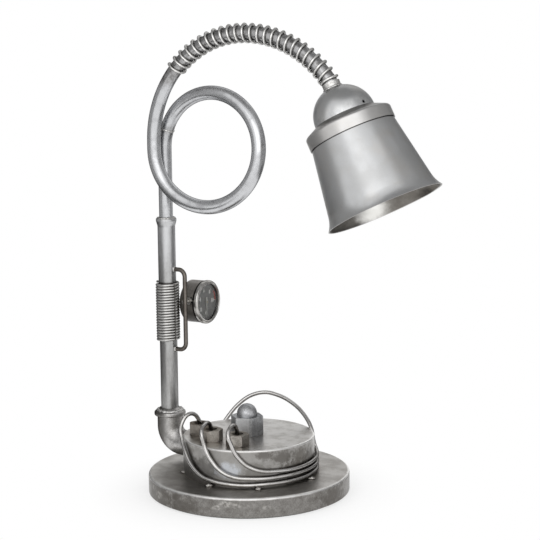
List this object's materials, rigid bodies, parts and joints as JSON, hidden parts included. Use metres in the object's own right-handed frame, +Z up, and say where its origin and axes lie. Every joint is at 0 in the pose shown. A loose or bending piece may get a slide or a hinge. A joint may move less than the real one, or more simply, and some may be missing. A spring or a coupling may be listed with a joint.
{
  "type": "industrial table lamp",
  "caption": "Industrial table lamp of bent pipe: round foot and drum, looped and spring-wrapped arch, bell shade, and a pressure gauge with a geared pointer on the upright.",
  "frame": {"origin": "middle of the foot, on the table under the felt", "axes": "+Z up; +X the way the arch reaches out to the shade; +Y to the far side, where the gauge sits"},
  "size_m": [0.3837, 0.24, 0.5521],
  "materials": {
    "base_steel": "ground steel, mottled",
    "felt": "felt",
    "drum_steel": "turned steel",
    "fixing_steel": "plain steel",
    "grommet_rubber": "moulded",
    "terminal_plastic": "moulded",
    "lead_rubber": "extruded",
    "cap_nut_zinc": "zinc, grainy",
    "nut_steel": "browned steel, grainy",
    "rod_steel": "drawn bright steel",
    "elbow_iron": "cast, grainy",
    "pipe_steel": "ground pipe",
    "coil_wire": "drawn wire",
    "bracket_iron": "dark rod",
    "gauge_case_paint": "satin",
    "bezel_steel": "polished",
    "gauge_glass": "clear",
    "dial_paint": "matt",
    "pointer_paint": "matt",
    "stem_steel": "turned",
    "movement_brass": "turned",
    "tube_steel": "satin",
    "spring_wire": "drawn wire",
    "collar_weld": "welded, grainy",
    "shade_steel": "spun, satin",
    "holder_plastic": "moulded",
    "porcelain": "glazed",
    "socket_brass": "pressed"
  },
  "bodies": {
    "lamp": {"base_pan": "base_steel", "base_cover": "base_steel", "felt_pad": "felt", "drum": "drum_steel", "cover_screws": "fixing_steel", "clamp_stud": "fixing_steel", "clamp_washer": "fixing_steel", "clamp_nut": "fixing_steel", "nipple": "fixing_steel", "nipple_nut": "fixing_steel", "lead_grommet": "grommet_rubber", "terminal_block": "terminal_plastic", "inner_lead": "lead_rubber", "cap_nut": "cap_nut_zinc", "rod_nut_left": "nut_steel", "rod_nut_middle": "nut_steel", "rod_nut_right": "nut_steel", "trim_rod_left": "rod_steel", "trim_rod_middle": "rod_steel", "trim_rod_right": "rod_steel", "elbow": "elbow_iron", "pole_pipe": "pipe_steel", "pole_coil": "coil_wire", "gauge_bracket": "bracket_iron", "gauge_case": "gauge_case_paint", "gauge_bezel": "bezel_steel", "gauge_glass": "gauge_glass", "gauge_dial": "dial_paint", "gauge_stem": "stem_steel", "gauge_stem_nut": "stem_steel", "gauge_bourdon_tube": "movement_brass", "gauge_movement_frame": "movement_brass", "riser_tube": "tube_steel", "loop_tube": "tube_steel", "arch_tube": "tube_steel", "arch_spring": "spring_wire", "neck_collar": "collar_weld", "shade_dome": "shade_steel", "shade_cap": "shade_steel", "shade": "shade_steel", "holder_cap": "holder_plastic", "holder_skirt": "holder_plastic", "shade_ring": "holder_plastic", "holder_core": "porcelain", "screw_shell": "socket_brass"},
    "pointer": {"gauge_arbor": "movement_brass", "gauge_pointer": "pointer_paint"},
    "sector": {"gauge_sector": "movement_brass"},
    "contact": {"centre_contact": "socket_brass"}
  },
  "joints": [
    {"name": "sector_turn", "type": "hinge", "parent": "lamp", "child": "sector", "pos_m": [-0.0897, 0.04, 0.22785], "axis": [1, 0, 0], "range_deg": [0, 45]},
    {"name": "pointer_turn", "type": "hinge", "parent": "lamp", "child": "pointer", "pos_m": [-0.0847, 0.04, 0.2156], "axis": [-1, 0, 0], "range_deg": [0, 270]},
    {"name": "contact_press", "type": "slide", "parent": "lamp", "child": "contact", "axis": [-0.4431, 0, 0.8965], "range_m": [0, 0.0015], "stiffness_N_per_m": 400}
  ],
  "couplings": [
    {"joint": "pointer_turn", "follows": "sector_turn", "ratio": 6}
  ]
}
